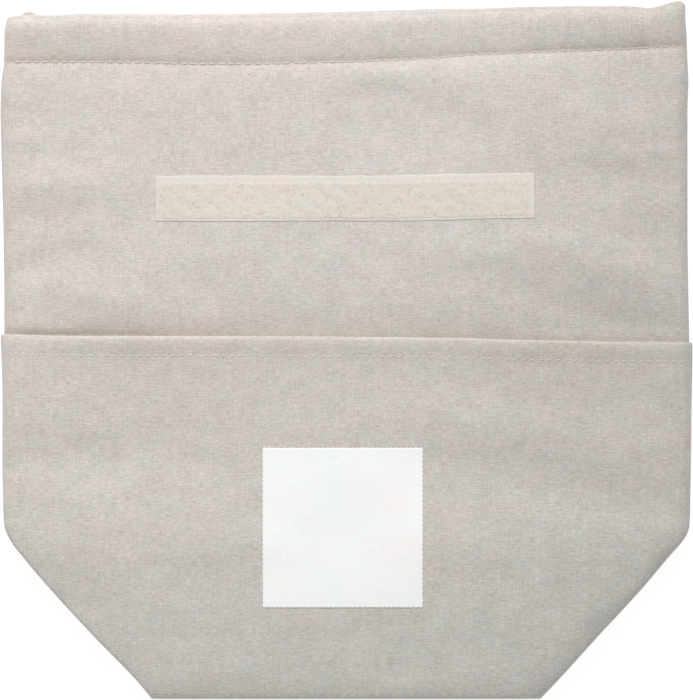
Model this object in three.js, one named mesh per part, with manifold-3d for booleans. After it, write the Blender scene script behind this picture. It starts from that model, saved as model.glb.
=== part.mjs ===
// Insulated lunch bag of natural cotton, lying flat on its back with its boxed base folded up behind it.
// Millimetres: X across the bag, Y from the folded bottom edge to the mouth, Z up from the floor.
// A height h is measured up the bag from the bottom edge of the padded body.

import * as THREE from 'three';
import { mergeVertices } from 'three/addons/utils/BufferGeometryUtils.js';
import Module from 'manifold-3d';

const { clamp, degToRad, lerp, smoothstep } = THREE.MathUtils;
const wasm = await Module();
wasm.setup();

// Padded body: cotton, foam and lining sewn as one wall
const BOTTOM_Y = -149.6;
const WALL = 3.0;
const SLOT = 0.8;                  // air between two folded layers
const FOLD_ROUND = 5.0;            // how far in from the outline a fold starts to turn
const BOTTOM_ROUND = 3.5;
const HOLLOW_ROUND = 1.5;

// Boxed base, folded flat under the lower back
const BASE_DEPTH = 130;
const BASE_PAIR = 2 * WALL + SLOT; // base and the strip of back wall folded down on it
const LIFT = BASE_PAIR + SLOT;     // height of the back wall where it lies on the base
const LIFT_HOLD = 10;              // the back wall stays lifted this far past the base
const LIFT_RUN = 55;               // and is down on the floor this far past it
const BACK_FOLD = { inside: [60.5, 66], outside: [67.5, 70] }; // heights where the back wall turns under

// Turned hem round the mouth
const HEM_PUFF = 1.0;
const HEM_GROOVE = 1.2;
const HEM_GROOVE_WIDTH = 3.0;
const LIP_ROUND = 1.0;
const LIP_START = 0.85;            // share of the hem's height where its lip starts to turn

// Front pocket: one layer of cotton with a folded hem
const GAP = 0.4;
const CLOTH = 1.2;
const POCKET_SLACK = 6.0;          // how far the pocket stands off the front in the middle
const POCKET_GAPE = { more: 1.2, from: 120, to: 152 }; // and how much more towards its open top edge
const POCKET_FILL = 110;           // height over which that slack opens up from the bottom edge
const POCKET_HEM = { depth: 9, turn: 1.5, thickness: 0.8 };

// Closing strip and blank patch
const TAPE = { x: -0.5, y: 66.2, length: 163.6, width: 20, tilt: 0.6, thickness: 1.8 };
const PATCH = { x: -1.6, y: -76.6, length: 69.3, width: 69.3, tilt: 0, thickness: 0.5 };
const TRIM_GAP = 0.3;

// Side folds of the body, left and right of the middle
const SIDES = [
  { h: 0, left: -83.4, right: 83.2 },
  { h: 33.8, left: -114.8, right: 114.4 },
  { h: 61.5, left: -139.2, right: 138.9 },
  { h: 68, left: -144.4, right: 144.2 },
  { h: 74.4, left: -146.5, right: 146.3 },
  { h: 110, left: -147.5, right: 147.3 },
  { h: 152, left: -148.3, right: 148.1 },
  { h: 200, left: -148.6, right: 147.6 },
  { h: 257, left: -149.9, right: 147.5 },
  { h: 275, left: -148.4, right: 147.2 },
  { h: 293, left: -147.3, right: 146.6 },
];

// Height of the front face above the floor, beside the side folds and along the middle
const FRONT = [
  { h: 0, edge: 9.4, middle: 10.6 },
  { h: 8, edge: 11, middle: 12.8 },
  { h: 20, edge: 12.4, middle: 15.2 },
  { h: 40, edge: 13.7, middle: 17.5 },
  { h: 67, edge: 14.8, middle: 19.5 },
  { h: 96, edge: 15.2, middle: 20.3 },
  { h: 130, edge: 15, middle: 20 },
  { h: 154, edge: 14, middle: 18.9 },
  { h: 176, edge: 13.5, middle: 19.8 },
  { h: 275, edge: 12, middle: 19.3 },
  { h: 300, edge: 11, middle: 19.2 },
];

// Hem seam and mouth edge, which climb to the right
const MOUTH = [
  { x: -148, seam: 275.1, edge: 293.9 },
  { x: -72, seam: 275.1, edge: 295.1 },
  { x: -40, seam: 274.0, edge: 295.0 },
  { x: 0, seam: 274.6, edge: 296.3 },
  { x: 48, seam: 276.8, edge: 296.8 },
  { x: 92, seam: 279.0, edge: 298.3 },
  { x: 128, seam: 280.4, edge: 298.8 },
  { x: 147, seam: 281.2, edge: 300.9 },
];

// Half width of the folded base
const BASE = [
  { h: 57, half: 127 },
  { h: 66, half: 135 },
  { h: 73, half: 135 },
  { h: 124, half: 90 },
  { h: 130, half: 84 },
];

// Top edge of the pocket, which falls to the right
const POCKET_MOUTH = [
  { x: -148, h: 156.0 },
  { x: -115, h: 155.2 },
  { x: -42, h: 155.1 },
  { x: 16, h: 154.7 },
  { x: 75, h: 153.5 },
  { x: 118, h: 152.7 },
  { x: 150, h: 152.5 },
];

// Soft dents pressed into the padded front and into the pocket
const FRONT_DENTS = [
  { x: 97, y: 29, turn: -17, length: 38, width: 11, depth: 1.3 },
  { x: -132, y: 66, turn: 4, length: 26, width: 9, depth: 0.9 },
  { x: 128, y: 112, turn: 12, length: 20, width: 8, depth: 0.7 },
];
const POCKET_DENTS = [
  { x: 84, y: -47, turn: -8, length: 46, width: 12, depth: 1.1 },
  { x: -62, y: -84, turn: 6, length: 26, width: 10, depth: 0.7 },
  { x: 46, y: -92, turn: -6, length: 22, width: 10, depth: 0.7 },
];

// Rows and columns that the soft forms are drawn on
const FOLD_STEPS = 3;
const FACE_STEPS = 12;
const LOWER_ROWS = [8, 20, 34, 48];
const FOLD_ROWS = { inside: [60.5, 62, 64, 66, 70], outside: [60, 67.5, 70] };
const UPPER_ROWS = [82, 100, 118, 130, 142];
const BASE_ROWS = [57, 66, 73, 90, 107];
const CHEST_ROWS = [154, 162, 176, 195, 215, 235, 255];
const CLOTH_ROWS = [...LOWER_ROWS, ...FOLD_ROWS.outside, ...UPPER_ROWS, ...CHEST_ROWS];
const HEM_ROWS = [-0.3, 0, 0.2, 0.5, LIP_START, 1];
const CUT_PAST = 8;                // cutting forms run this far past the edge they open
const MERGE = 1e-4;

// Value of one column of a table, read between its rows
function read(table, key, at, column) {
  const next = table.findIndex((row) => row[key] >= at);
  if (next < 0) return table[table.length - 1][column];
  if (next === 0) return table[0][column];
  const [a, b] = [table[next - 1], table[next]];
  return lerp(a[column], b[column], (at - a[key]) / (b[key] - a[key]));
}

// One column of a table as a smooth curve through its rows
function smooth(table, key, column) {
  const curve = new THREE.CubicInterpolant(table.map((row) => row[key]), table.map((row) => row[column]), 1);
  return (at) => curve.evaluate(at)[0];
}

const left = (h) => read(SIDES, 'h', h, 'left');
const right = (h) => read(SIDES, 'h', h, 'right');
const seam = (x) => read(MOUTH, 'x', x, 'seam');
const edge = (x) => read(MOUTH, 'x', x, 'edge');
const pocketEdge = (x) => read(POCKET_MOUTH, 'x', x, 'h');
const baseHalf = (h) => read(BASE, 'h', h, 'half');
const baseSlope = (BASE[3].half - BASE[2].half) / (BASE[3].h - BASE[2].h);
const frontEdge = smooth(FRONT, 'h', 'edge');
const frontMiddle = smooth(FRONT, 'h', 'middle');

// Place across the bag: 0 along the middle, 1 at a side fold
function spread(x, h) {
  return Math.min(1, Math.abs((2 * x - left(h) - right(h)) / (right(h) - left(h))));
}

// How much longer a slanted outline makes a distance that is measured across the bag
function slant(h) {
  const from = Math.max(0, h - 1);
  return Math.hypot(1, (right(h + 1) - right(from)) / (h + 1 - from));
}

// Depth of all dents of a table at one place
function dents(table, x, h) {
  let depth = 0;
  for (const dent of table) {
    const [dx, dy] = [x - dent.x, h + BOTTOM_Y - dent.y];
    const turn = degToRad(dent.turn);
    const along = (dx * Math.cos(turn) + dy * Math.sin(turn)) / dent.length;
    const over = (dy * Math.cos(turn) - dx * Math.sin(turn)) / dent.width;
    depth += dent.depth * Math.exp(-along * along - over * over);
  }
  return depth;
}

// Hem relief: a groove along its seam, a soft roll above it and a rounded lip
function hem(x, h) {
  const up = (h - seam(x)) / (edge(x) - seam(x));
  const groove = HEM_GROOVE * Math.exp(-(((h - seam(x)) / HEM_GROOVE_WIDTH) ** 2));
  const roll = HEM_PUFF * Math.sin(Math.PI * clamp(up, 0, 1));
  return roll - groove - LIP_ROUND * smoothstep(up, LIP_START, 1);
}

// Outer face of the padded front
function front(x, h) {
  const crown = 1 - spread(x, h) ** 3;
  const level = lerp(frontEdge(h), frontMiddle(h), crown);
  return level + hem(x, h) - dents(FRONT_DENTS, x, h);
}

// Outer face of the back: on the floor, but lifted where it lies on the folded base
function back(x, h, fold) {
  const half = BASE[2].half + baseSlope * (h - BASE[2].h);
  const past = Math.max(h - BASE_DEPTH, (Math.abs(x) - half) / Math.hypot(1, baseSlope));
  const lift = LIFT * (1 - smoothstep(past, LIFT_HOLD, LIFT_RUN));
  return lift * smoothstep(h, ...fold);
}

// Room between the padded front and the pocket's inner face
function pocketRoom(x, h) {
  const slack = POCKET_SLACK * smoothstep(h, 0, POCKET_FILL);
  const gape = POCKET_GAPE.more * smoothstep(h, POCKET_GAPE.from, POCKET_GAPE.to);
  return (slack + gape) * (1 - spread(x, h) ** 4) - dents(POCKET_DENTS, x, h);
}

// Extra thickness of the pocket's folded hem
function pocketHem(x, h) {
  const { depth, turn, thickness } = POCKET_HEM;
  const down = pocketEdge(x) - h;
  return thickness * smoothstep(down, 0, turn) * (1 - smoothstep(down, depth - turn, depth));
}

// Rows: a height for every place across, and how far front and back stand apart there
const flatRow = (h) => ({ h: () => h, open: 1 });
const hemRow = (up) => ({ h: (x) => lerp(seam(x), edge(x), up), open: 1 });
const pocketRow = (down) => ({ h: (x) => pocketEdge(x) - down, open: 1 });

// Rows that round a form off at its bottom or top end
function endRows(start, round, direction = 1) {
  const rows = [];
  for (let i = 0; i <= FOLD_STEPS; i++) {
    const turn = (Math.PI / 2) * (i / FOLD_STEPS);
    rows.push({ h: () => start + direction * round * (1 - Math.cos(turn)), open: Math.sin(turn) });
  }
  return direction > 0 ? rows : rows.reverse();
}

// Columns: two rounded folds and the face between them
function columns() {
  const turns = Array.from({ length: FOLD_STEPS }, (_, i) => (Math.PI / 2) * (i / FOLD_STEPS));
  const shares = Array.from({ length: FACE_STEPS + 1 }, (_, i) => i / FACE_STEPS);
  return [
    ...turns.map((turn) => ({ side: -1, turn })),
    ...shares.map((share) => ({ side: 0, share })),
    ...turns.toReversed().map((turn) => ({ side: 1, turn })),
  ];
}

// Closed solid between two grids of points, walled along the borders where they don't meet
function shell(top, bottom) {
  const [rows, cols] = [top.length, top[0].length];
  const points = [...top.flat(2), ...bottom.flat(2)];
  const at = (face, r, c) => face * rows * cols + r * cols + c;
  const faces = [];
  const quad = (a, b, c, d) => faces.push(a, b, c, a, c, d);
  for (let r = 0; r + 1 < rows; r++) {
    for (let c = 0; c + 1 < cols; c++) {
      quad(at(0, r, c), at(0, r, c + 1), at(0, r + 1, c + 1), at(0, r + 1, c));
      quad(at(1, r, c), at(1, r + 1, c), at(1, r + 1, c + 1), at(1, r, c + 1));
    }
    quad(at(0, r, 0), at(0, r + 1, 0), at(1, r + 1, 0), at(1, r, 0));
    quad(at(0, r + 1, cols - 1), at(0, r, cols - 1), at(1, r, cols - 1), at(1, r + 1, cols - 1));
  }
  for (let c = 0; c + 1 < cols; c++) {
    quad(at(0, 0, c + 1), at(0, 0, c), at(1, 0, c), at(1, 0, c + 1));
    quad(at(0, rows - 1, c), at(0, rows - 1, c + 1), at(1, rows - 1, c + 1), at(1, rows - 1, c));
  }
  return toSolid(points, faces);
}

// Solid from points and triangles, with shared points merged and flat triangles dropped
function toSolid(points, faces) {
  const geometry = new THREE.BufferGeometry();
  geometry.setAttribute('position', new THREE.Float32BufferAttribute(points, 3));
  geometry.setIndex(faces);
  const merged = mergeVertices(geometry, MERGE);
  const corners = [];
  for (let i = 0; i < merged.index.count; i += 3) {
    const [a, b, c] = [0, 1, 2].map((k) => merged.index.getX(i + k));
    if (a !== b && b !== c && c !== a) corners.push(a, b, c);
  }
  return new wasm.Manifold(new wasm.Mesh({
    numProp: 3,
    vertProperties: new Float32Array(merged.attributes.position.array),
    triVerts: new Uint32Array(corners),
  }));
}

// Soft form over rows and columns, whose front and back meet in rounded folds at both sides
function pillow(rows, form) {
  const top = [];
  const bottom = [];
  for (const row of rows) {
    const level = row.h(0);
    const [from, to] = [form.left(level), form.right(level)];
    const upper = [];
    const lower = [];
    for (const column of columns()) {
      const inset = column.side ? form.round * (1 - Math.cos(column.turn)) : 0;
      const x = column.side < 0 ? from + inset
        : column.side > 0 ? to - inset
          : lerp(from + form.round, to - form.round, column.share);
      const h = row.h(x);
      const open = row.open * (column.side ? Math.sin(column.turn) : 1);
      const middle = (form.high(x, h) + form.low(x, h)) / 2;
      const reach = open * (form.high(x, h) - form.low(x, h)) / 2;
      upper.push([x, BOTTOM_Y + h, middle + reach]);
      lower.push([x, BOTTOM_Y + h, middle - reach]);
    }
    top.push(upper);
    bottom.push(lower);
  }
  return shell(top, bottom);
}

// The body's form, grown outwards by a distance and raised in front by a function
function bodyForm(grow, fold, raise = () => 0) {
  return {
    round: Math.max(HOLLOW_ROUND, FOLD_ROUND + grow),
    left: (h) => left(h) - grow * slant(h),
    right: (h) => right(h) + grow * slant(h),
    low: (x, h) => back(x, h, fold) - grow,
    high: (x, h) => front(x, h) + grow + raise(x, h),
  };
}

// The folded base's form, grown outwards by a distance, between two heights above the floor
function baseForm(grow, low, high) {
  return {
    round: Math.max(HOLLOW_ROUND, BASE_PAIR / 2 + grow),
    left: (h) => -baseHalf(h) - grow * Math.hypot(1, baseSlope),
    right: (h) => baseHalf(h) + grow * Math.hypot(1, baseSlope),
    low: () => low,
    high: () => high,
  };
}

// Padded body: front and back wall folded at the sides, hollow and open at the mouth, base folded behind
function bodySolid() {
  const upper = [...UPPER_ROWS, ...CHEST_ROWS].map(flatRow);
  const outerRows = [
    ...endRows(0, BOTTOM_ROUND),
    ...[...LOWER_ROWS, ...FOLD_ROWS.outside].map(flatRow),
    ...upper,
    ...HEM_ROWS.map(hemRow),
  ];
  const hollowRows = [
    ...endRows(WALL, (FRONT[0].middle - 2 * WALL) / 2),
    ...[...LOWER_ROWS, ...FOLD_ROWS.inside].map(flatRow),
    ...upper,
    ...HEM_ROWS.map(hemRow),
    { h: (x) => edge(x) + CUT_PAST, open: 1 },
  ];
  const baseRows = BASE_ROWS.map(flatRow);
  const walls = pillow(outerRows, bodyForm(0, BACK_FOLD.outside));
  const base = pillow([...baseRows, ...endRows(BASE_DEPTH, BASE_PAIR / 2, -1)], baseForm(0, 0, BASE_PAIR));
  const hollow = pillow(hollowRows, bodyForm(-WALL, BACK_FOLD.inside));
  const slotRows = [...baseRows, ...endRows(BASE_DEPTH - WALL, SLOT / 2, -1)];
  const slot = pillow(slotRows, baseForm(-WALL, WALL, WALL + SLOT));
  return walls.add(base).subtract(hollow).subtract(slot);
}

// Height of the pocket's outer face
function pocketFace(x, h) {
  return front(x, h) + GAP + pocketRoom(x, h) + CLOTH + pocketHem(x, h);
}

// Pocket: a cotton panel over the lower front, turned round the folds down to the middle of their thickness
function pocketSolid() {
  const rows = [...LOWER_ROWS, ...FOLD_ROWS.outside, ...UPPER_ROWS.slice(0, -1)].map(flatRow);
  const { depth, turn } = POCKET_HEM;
  const mouthRows = [depth, depth - turn, depth / 2, turn, 0].map(pocketRow);
  const grown = GAP + CLOTH;
  const outerRows = [...endRows(-grown, BOTTOM_ROUND + grown), ...rows, ...mouthRows];
  const innerRows = [...endRows(-GAP, BOTTOM_ROUND + GAP), ...rows, ...mouthRows, pocketRow(-CUT_PAST)];
  const outerForm = bodyForm(grown, BACK_FOLD.outside, (x, h) => pocketRoom(x, h) + pocketHem(x, h));
  const innerForm = bodyForm(GAP, BACK_FOLD.outside, pocketRoom);
  const halfway = (h) => (front(left(h), h) + back(left(h), h, BACK_FOLD.outside)) / 2;
  const below = [-CUT_PAST, 0, ...LOWER_ROWS, ...FOLD_ROWS.outside, ...UPPER_ROWS, CHEST_ROWS[1]].map((h) => {
    const reach = right(h) + 2 * CUT_PAST;
    return [-reach, reach].map((x) => [x, BOTTOM_Y + h, halfway(Math.max(0, h))]);
  });
  const underside = below.map((row) => row.map(([x, y]) => [x, y, -CUT_PAST]));
  return pillow(outerRows, outerForm)
    .subtract(pillow(innerRows, innerForm))
    .subtract(shell(below, underside));
}

// Thin rectangle laid on a curved face, with a row of points wherever the face below has one
function laidOn(face, piece, steps) {
  const turn = degToRad(piece.tilt);
  const [low, high] = [piece.y - piece.width / 2, piece.y + piece.width / 2];
  const inside = CLOTH_ROWS.map((h) => BOTTOM_Y + h).filter((y) => y > low + TRIM_GAP && y < high - TRIM_GAP);
  const grid = (rise) => [low, ...inside, high].map((level) => {
    const v = level - piece.y;
    return Array.from({ length: steps + 1 }, (_, c) => {
      const u = piece.length * (c / steps - 0.5);
      const x = piece.x + u * Math.cos(turn) - v * Math.sin(turn);
      const y = piece.y + u * Math.sin(turn) + v * Math.cos(turn);
      return [x, y, face(x, y - BOTTOM_Y) + rise];
    });
  });
  return shell(grid(TRIM_GAP + piece.thickness), grid(TRIM_GAP));
}

function toMesh(name, solid, look) {
  const cut = solid.getMesh();
  const geometry = new THREE.BufferGeometry();
  geometry.setAttribute('position', new THREE.BufferAttribute(cut.vertProperties, 3));
  geometry.setIndex(new THREE.BufferAttribute(cut.triVerts, 1));
  geometry.computeVertexNormals();
  const mesh = new THREE.Mesh(geometry, new THREE.MeshStandardMaterial({ ...look, metalness: 0 }));
  mesh.name = name;
  return mesh;
}

const bag = new THREE.Group();
bag.add(
  toMesh('body', bodySolid(), { color: 0xd2cac3, roughness: 0.95 }),
  toMesh('front_pocket', pocketSolid(), { color: 0xc9c2bb, roughness: 0.95 }),
  toMesh('closure_tape', laidOn(front, TAPE, 14), { color: 0xddd4cb, roughness: 1 }),
  toMesh('blank_patch', laidOn(pocketFace, PATCH, 6), { color: 0xf3f3f3, roughness: 0.9 }),
);

// The origin is on the floor, in the middle of the bag's footprint
const bounds = new THREE.Box3().setFromObject(bag);
const middle = bounds.getCenter(new THREE.Vector3());
bag.position.set(-middle.x, -middle.y, -bounds.min.z);

export default bag;
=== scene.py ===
import bmesh
import bpy
import numpy as np
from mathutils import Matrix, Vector


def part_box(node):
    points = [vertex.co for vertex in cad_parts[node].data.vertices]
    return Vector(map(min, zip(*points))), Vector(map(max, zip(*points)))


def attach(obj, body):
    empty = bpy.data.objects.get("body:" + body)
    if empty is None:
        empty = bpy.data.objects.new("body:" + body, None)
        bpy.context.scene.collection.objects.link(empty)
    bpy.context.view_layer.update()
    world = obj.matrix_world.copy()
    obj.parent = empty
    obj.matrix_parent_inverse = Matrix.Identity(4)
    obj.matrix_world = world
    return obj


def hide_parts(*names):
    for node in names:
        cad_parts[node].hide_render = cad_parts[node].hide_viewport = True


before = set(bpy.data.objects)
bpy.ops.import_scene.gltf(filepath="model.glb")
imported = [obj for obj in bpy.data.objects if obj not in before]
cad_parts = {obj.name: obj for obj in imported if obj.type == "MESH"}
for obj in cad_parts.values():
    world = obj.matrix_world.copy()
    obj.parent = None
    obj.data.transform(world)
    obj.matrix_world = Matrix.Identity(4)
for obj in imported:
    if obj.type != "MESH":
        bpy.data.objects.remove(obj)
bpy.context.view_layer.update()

# Padded body
# The wall of the bag is cotton, thin foam and lining sewn as one, folded flat at both sides, open at the top.
# Its boxed base is folded up behind, so that the lower back lies on two more layers of wall.
# Places are (x, h, z) in millimetres: across from the middle, up the bag from its bottom edge, off the floor.
MM = 0.001
WALL = 3.0
LAID_WALLS = 6.8  # the base and the strip of back wall that is folded down on it
LIFT = 7.6  # height of the back wall where it lies on the base
BACK_FOLD_STEP, BACK_FOLD_RUN = 0.4, 3.0  # how far the back wall closes up at its fold, over what run
INNER_FOLD = (60.5, 66)  # heights between which the inside of the back wall climbs on to the base
BASE_DEPTH = 130.0
CORNER = 67.0  # height where the slanted folds end and the side folds begin
SIDE_ROUND = 5.0
BOTTOM_ROUND = 3.5
LIP_ROUND = WALL / 2
STRAIGHT_TO = 240.0  # rows are level up to here, and above it they lean with the hem
SEAM_ROW, MOUTH_ROW = 276.0, 296.0
SIDE_REACH = 147.0
HEM_INSIDE_ROWS = 10  # rows of cotton inside the mouth, above the lining
BACK_PROUD, PROUD_FROM, PROUD_TO = 1.2, (-134, -115), (30, 75)  # where the back edge shows
TUFT_X, TUFT_RISE, TUFT_WIDTH = -137.6, 2.4, 2.9  # and where it pokes up

# Columns: height, left fold, right fold
SIDE_FOLDS = np.array([
    (0, -83.4, 83.2), (33.8, -114.8, 114.4), (61.5, -139.2, 138.9), (67, -143.6, 143.4),
    (74.4, -146.5, 146.3), (110, -147.5, 147.5), (152, -148.3, 148.5), (171, -148.3, 148.2),
    (201, -148.7, 147.8), (236, -149.6, 147.8), (253, -150.0, 147.8), (266, -149.6, 148.2),
    (275, -148.4, 147.8), (287, -148.3, 147.4), (293, -147.3, 146.9),
])
BASE_FOLDS = np.array([(67, -143.6, 143.4), (73, -137.5, 137.5), (124, -90, 90), (130, -84, 84)])
# Columns: height, front face beside the folds, front face along the middle
FRONT_LEVELS = np.array([
    (0, 9.4, 11.2), (8, 11, 13.2), (20, 12.4, 15.2), (40, 13.7, 17.3), (67, 14.8, 19.3),
    (96, 15.2, 20.2), (130, 15, 20), (154, 14, 19.2), (176, 13.5, 20.2), (205, 13.1, 20.0),
    (225, 12.8, 19.6), (250, 12.4, 18.9), (275, 12, 18.4), (300, 11, 18.4),
])
# Columns: height, level of the crease where front and back wall meet; then the same round the base
SIDE_CREASE = np.array([
    (0, 4.9), (20, 6.2), (40, 6.9), (67, 7.4), (76, 11.0), (95, 10.5), (110, 9.3), (130, 7.8),
    (154, 7.0), (176, 6.75), (275, 6.0), (300, 5.5),
])
BASE_CREASE = np.array([(67, 7.4), (76, 3.4), (130, 3.4)])
# Columns: x, height; the sewn line of the hem, the edge of the mouth and the top edge of the pocket
HEM_SEAM = np.array([
    (-148, 274.2), (-98, 273.9), (-55, 273.0), (-11, 273.8), (23, 275.0), (58, 277.4), (92, 278.8),
    (112, 279.4), (148, 281.4),
])
MOUTH_EDGE = np.array([
    (-148, 293.8), (-140, 294.4), (-70, 294.2), (-29, 294.8), (23, 296.0), (58, 297.5), (85, 298.3),
    (122, 298.4), (131, 297.7), (138, 299.3), (144.5, 301.0), (148, 299.6),
])
POCKET_EDGE = np.array([
    (-150, 156.5), (-115, 155.7), (-42, 155.6), (16, 155.2), (46, 154.8), (75, 154.0), (118, 153.2),
    (150, 153.0),
])
# Columns: x, height, turn in degrees, length, width, rise; soft ridges and dents of the padded front
FRONT_SWELLS = [
    (-127, 221, 0, 26, 9, 1.8), (-134, 241, 0, 16, 5, 0.5), (-132, 187, 20, 15, 6, -0.9),
    (-106, 173, -15, 20, 10, 1.1), (-136, 159, 0, 12, 4, 0.5), (-38, 203, 5, 30, 9, 0.8),
    (-60, 174, -10, 22, 9, -0.7), (110, 189, -17, 42, 11, 1.7), (112, 162, -17, 45, 12, -2.0),
    (85, 160, 0, 13, 4, -0.3), (118, 160, 0, 9, 4, -0.3), (138, 160, 0, 8, 4, -0.4),
    (30, 155, 0, 14, 6, 0.5), (-20, 153, 0, 25, 5, 0.5), (30, 250, 0, 45, 17, -2.6),
    (10, 260, 2, 28, 6, -0.8), (108, 246, 0, 32, 16, 2.4), (128, 234, 0, 16, 6, 0.7),
    (110, 212, 0, 40, 9, 0.8), (50, 194, 0, 30, 9, 0.9), (-115, 246, 0, 35, 11, -0.6),
]
# Columns: x, rise of the folded hem above its seam, over what run, rise of the padding below it, over what
# run, and how steeply the hem leans up
HEM_RISE = np.array([
    (-148, 1.1, 2.4, 1.0, 3.0, 0.15), (-120, 1.15, 2.5, 1.0, 3.0, 0.15),
    (-72, 1.3, 2.8, 0.8, 3.0, 0.05), (-7, 1.3, 3.0, 2.4, 3.5, 0.0), (53, 1.3, 3.0, 6.6, 5.8, 0.0),
    (110, 2.3, 4.2, 1.8, 3.5, 0.09), (148, 2.5, 4.2, 1.3, 3.2, 0.09),
])
HEM_ROLL, ROLL_RUN = 5.2, 2.0  # how the hem rounds over towards the mouth
# Columns: x, how far the hem also sinks towards the mouth over a longer run
HEM_SINK, SINK_RUN = np.array([(-148, 0.0), (-20, 0.2), (50, 0.6), (100, 1.5), (148, 1.5)]), 8.0
HEM_PUCKER = 0.14
# Columns: x, how deep the top edge of the pocket presses into the front
POCKET_PRESS = np.array([
    (-150, 1.2), (-95, 0.8), (-70, 0.2), (0, -0.3), (45, 0.0), (90, 0.4), (150, 0.7),
])
POCKET_PRESS_WIDTH = 2.2

# Tints that multiply the dye of the cloth, from warm to cool and from yellow to blue
WARM, COOL = (1.022, 0.992, 0.99, 1), (0.975, 1.006, 1.0, 1)
YELLOW, BLUE = (1.006, 1.004, 0.97, 1), (0.994, 0.996, 1.03, 1)
COOL_WAY = (1.3, -2.2, 0.0)  # how fast the cloth turns cooler across and down the bag
SIDE_SHADE_FROM, PAINTED_SIDE_SHADE = -0.03, -6.0  # x in metres, and how much darker the cloth is drawn by the square of the way from it: painted shade for light that falls off towards the sides
PAINTED_BOUNCE_WARM, PAINTED_BOUNCE_YELLOW = -0.5, -0.9  # painted warm bounce light in the shade of a crease: how much warmer and yellower the cloth is drawn there
PAINTED_BOUNCE_RUN = 4.0  # reach of that painted tint above the pocket
SEAM_BOUNCE_SHARE, SEAM_BOUNCE_RUN = 0.4, 1.4  # its share and reach at the hem's seam

START_UNEVEN = 0.08
# Settling of the cloth: step and columns of its grid, the most it rises, how much too large it is cut, push
# of the padding; then where the closing tape holds it flat, and the distance over which that fades out
SETTLE_STEP, SETTLE_COLUMNS, SETTLE_CAP = 4.0, 74, 1.2
OVERSIZE, FRONT_PUSH = 0.0008, 0.8
TAPE_HOLD_X, TAPE_HOLD_H, TAPE_HOLD_HALF = 83.0, 215.5, 10.5
TAPE_FADE = (-2, 14)
SETTLE_ROWS = np.arange(140, SEAM_ROW + 0.1, SETTLE_STEP)

body_low = np.array(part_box("body")[0]) / MM
CAD_LEFT = -149.9
PLACE = np.array([body_low[0] - CAD_LEFT, body_low[1], body_low[2]])


def ease(at, start, stop):
    """0 before start, 1 after stop and a smooth s-curve between them."""
    share = np.clip((at - start) / (stop - start), 0, 1)
    return share * share * (3 - 2 * share)


def curve(table, at, column=1):
    """Smooth line through the rows of a table: cubic pieces whose slope at a row is the harmonic mean of the
    slopes on both sides, or none at a peak, so that the line never swings past a row."""
    knots, values = table[:, 0], table[:, column]
    step = np.diff(knots)
    chord = np.diff(values) / step
    before, after = chord[:-1], chord[1:]
    level = before * after <= 0
    slope = np.where(level, 0, 2 * before * after / np.where(level, 1, before + after))
    slope = np.concatenate([chord[:1], slope, chord[-1:]])
    at = np.clip(at, knots[0], knots[-1])
    i = np.clip(np.searchsorted(knots, at) - 1, 0, len(step) - 1)
    t = (at - knots[i]) / step[i]
    start = (1 + 2 * t) * (1 - t) ** 2 * values[i] + t * (1 - t) ** 2 * step[i] * slope[i]
    return start + t * t * (3 - 2 * t) * values[i + 1] - t * t * (1 - t) * step[i] * slope[i + 1]


def swells(table, x, h):
    """Sum of soft ridges and dents, each a bell curve, longer along its own turned line than across it."""
    total = np.zeros(np.broadcast(x, h).shape)
    for middle_x, middle_h, turn, length, width, rise in table:
        cos, sin = np.cos(np.radians(turn)), np.sin(np.radians(turn))
        along = ((x - middle_x) * cos + (h - middle_h) * sin) / length
        over = ((h - middle_h) * cos - (x - middle_x) * sin) / width
        total += rise * np.exp(-along ** 2 - over ** 2)
    return total


def ripples(x, h, seed, longest, shortest, waves=40):
    """Unevenness with a spread of about 1: plane waves of random length, heading and phase, the longer ones
    taller."""
    rng = np.random.default_rng(seed)
    length = np.exp(rng.uniform(np.log(shortest), np.log(longest), waves))
    heading = rng.uniform(0, 2 * np.pi, waves)
    phase = rng.uniform(0, 2 * np.pi, waves)
    total = np.zeros(np.broadcast(x, h).shape)
    for wave in range(waves):
        way = x * np.cos(heading[wave]) + h * np.sin(heading[wave])
        total += length[wave] * np.sin(2 * np.pi * way / length[wave] + phase[wave])
    return total / np.sqrt((length ** 2).sum() / 2)


def hem_relief(x, h):
    """Height that the sewn hem adds: a crease along the stitches whose two flanks climb steeply and level
    off, the folded hem above to a higher level than the padding below, puckered near the stitches and rounded
    at the mouth."""
    up = h - curve(HEM_SEAM, x)
    hem, hem_run, pad, pad_run, lean = (curve(HEM_RISE, x, column) for column in (1, 2, 3, 4, 5))
    flank = np.where(up > 0, hem * (1 - np.exp(-np.maximum(up, 0) / hem_run)) + lean * up,
                     pad * (1 - np.exp(np.minimum(up, 0) / pad_run)))
    pucker = HEM_PUCKER * ripples(x, 0 * h, 5, 17, 6, 9) * np.exp(-np.abs(up) / 5)
    below = np.maximum(curve(MOUTH_EDGE, x) - h, 0)
    mouth = HEM_ROLL * np.exp(-below / ROLL_RUN) + curve(HEM_SINK, x) * np.exp(-below / SINK_RUN)
    return flank - pad + pucker - mouth


def spread(x, h):
    """0 along the middle of the bag and 1 at a side fold."""
    left, right = curve(SIDE_FOLDS, h), curve(SIDE_FOLDS, h, 2)
    return np.minimum(1, np.abs((2 * x - left - right) / (right - left)))


def padding(x, h):
    """Level of the padded front without its dents: crowned between the folds."""
    edge, middle = curve(FRONT_LEVELS, h), curve(FRONT_LEVELS, h, 2)
    return edge + (middle - edge) * (1 - spread(x, h) ** 3)


def front_drawn(x, h):
    """Outer face of the padded front: crowned padding with the hem, dents and the pocket's press."""
    press = curve(POCKET_PRESS, x) * np.exp(-np.abs(h - curve(POCKET_EDGE, x)) / POCKET_PRESS_WIDTH)
    uneven = START_UNEVEN * ripples(x, h, 11, 70, 14) * ease(h, 130, 160)
    return padding(x, h) + hem_relief(x, h) + swells(FRONT_SWELLS, x, h) + uneven - press


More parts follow.
